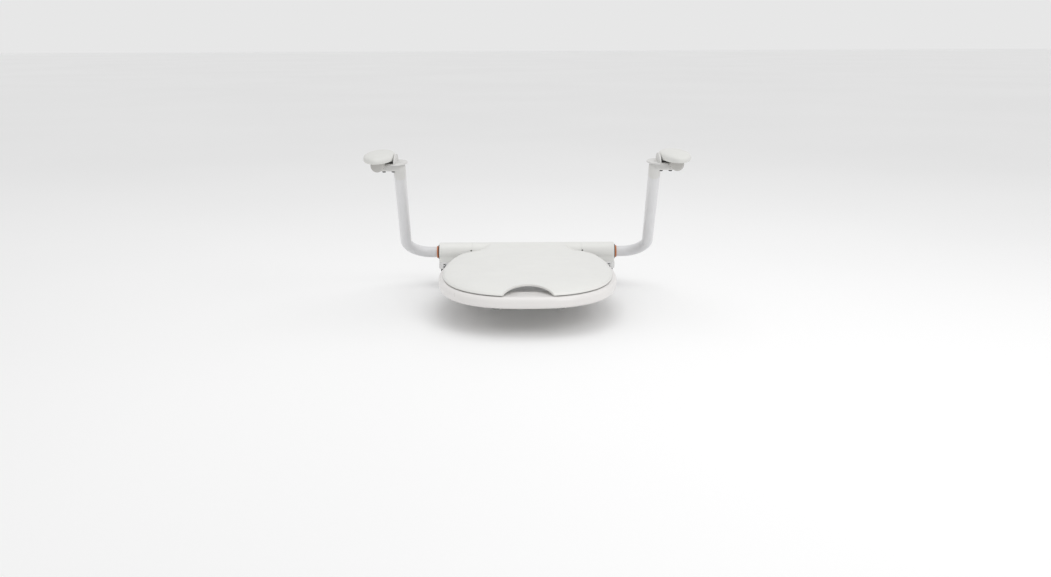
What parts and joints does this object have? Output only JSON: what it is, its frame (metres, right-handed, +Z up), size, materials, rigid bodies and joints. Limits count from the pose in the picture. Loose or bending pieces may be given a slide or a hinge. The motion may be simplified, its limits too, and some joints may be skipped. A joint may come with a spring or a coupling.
{
  "type": "raised toilet seat",
  "caption": "Toilet seat and lid on a full-width hinge bar, with swing-up tubular arm supports that carry oval hand pads.",
  "frame": {"origin": "midway between the two bowl bolts, on the plane of the gasket's underside (the top of the bowl)", "axes": "+X to the right as seen from the front, +Y to the back (towards the cistern), +Z up"},
  "size_m": [0.6408, 0.4737, 0.336],
  "materials": {
    "plate_steel": "zinc plated, satin",
    "black_rubber": "matt black rubber",
    "bright_steel": "zinc plated, satin",
    "wing_nut_plastic": "matt nylon",
    "cover_screw_steel": "stainless",
    "black_plastic": "matt black",
    "cast_aluminium": "die cast",
    "cover_plastic": "white, satin gloss moulding",
    "support_paint": "white powder coat",
    "orange_plastic": "orange acetal",
    "ring_plastic": "white, glossy moulding",
    "grey_rubber": "grey rubber",
    "lid_plastic": "white, satin gloss moulding",
    "arm_paint": "white powder coat",
    "bracket_plastic": "white nylon moulding",
    "pad_plastic": "pale grey, fine textured moulding",
    "keel_plastic": "pale grey moulding",
    "black_screw": "black oxide"
  },
  "bodies": {
    "base": {"base_plate": "plate_steel", "base_gasket": "black_rubber", "bowl_bolts": "bright_steel", "bolt_washers": "black_rubber", "wing_nuts": "wing_nut_plastic", "saddle_screws": "bright_steel", "support_screws": "bright_steel", "tube_lock_screws": "bright_steel", "cover_screws": "cover_screw_steel", "cover_plugs": "black_plastic", "cross_tube": "bright_steel", "tube_saddle_left": "cast_aluminium", "tube_saddle_right": "cast_aluminium", "end_cover_left": "cover_plastic", "end_cover_right": "cover_plastic", "side_support_left": "support_paint", "side_support_right": "support_paint", "support_pad_left": "black_rubber", "support_pad_right": "black_rubber", "arm_bush_left": "orange_plastic", "arm_bush_right": "orange_plastic", "seal_ring_left": "black_rubber", "seal_ring_right": "black_rubber"},
    "seat": {"seat_ring": "ring_plastic", "seat_buffers": "grey_rubber", "hinge_strap_left": "bright_steel", "hinge_strap_right": "bright_steel", "strap_screws": "bright_steel"},
    "lid": {"lid": "lid_plastic", "lid_buffers": "grey_rubber"},
    "arm_left": {"arm_tube_left": "arm_paint", "stop_pin_left": "bright_steel", "retaining_clip_left": "bright_steel", "arm_plug_left": "black_plastic", "pad_bracket_left": "bracket_plastic", "bracket_plate_left": "bracket_plastic", "arm_pad_left": "pad_plastic", "pad_keel_left": "keel_plastic", "pad_screws_left": "black_screw"},
    "arm_right": {"arm_tube_right": "arm_paint", "stop_pin_right": "bright_steel", "retaining_clip_right": "bright_steel", "arm_plug_right": "black_plastic", "pad_bracket_right": "bracket_plastic", "bracket_plate_right": "bracket_plastic", "arm_pad_right": "pad_plastic", "pad_keel_right": "keel_plastic", "pad_screws_right": "black_screw"}
  },
  "joints": [
    {"name": "seat_hinge", "type": "hinge", "parent": "base", "child": "seat", "pos_m": [0, 0, 0.029], "axis": [-1, 0, 0], "range_deg": [0, 92]},
    {"name": "lid_hinge", "type": "hinge", "parent": "seat", "child": "lid", "pos_m": [0, 0, 0.029], "axis": [-1, 0, 0], "range_deg": [0, 93]},
    {"name": "left_arm_swing", "type": "hinge", "parent": "base", "child": "arm_left", "pos_m": [-0.174, 0, 0.029], "axis": [-1, 0, 0], "range_deg": [0, 62]},
    {"name": "right_arm_swing", "type": "hinge", "parent": "base", "child": "arm_right", "pos_m": [0.174, 0, 0.029], "axis": [-1, 0, 0], "range_deg": [0, 62]}
  ]
}
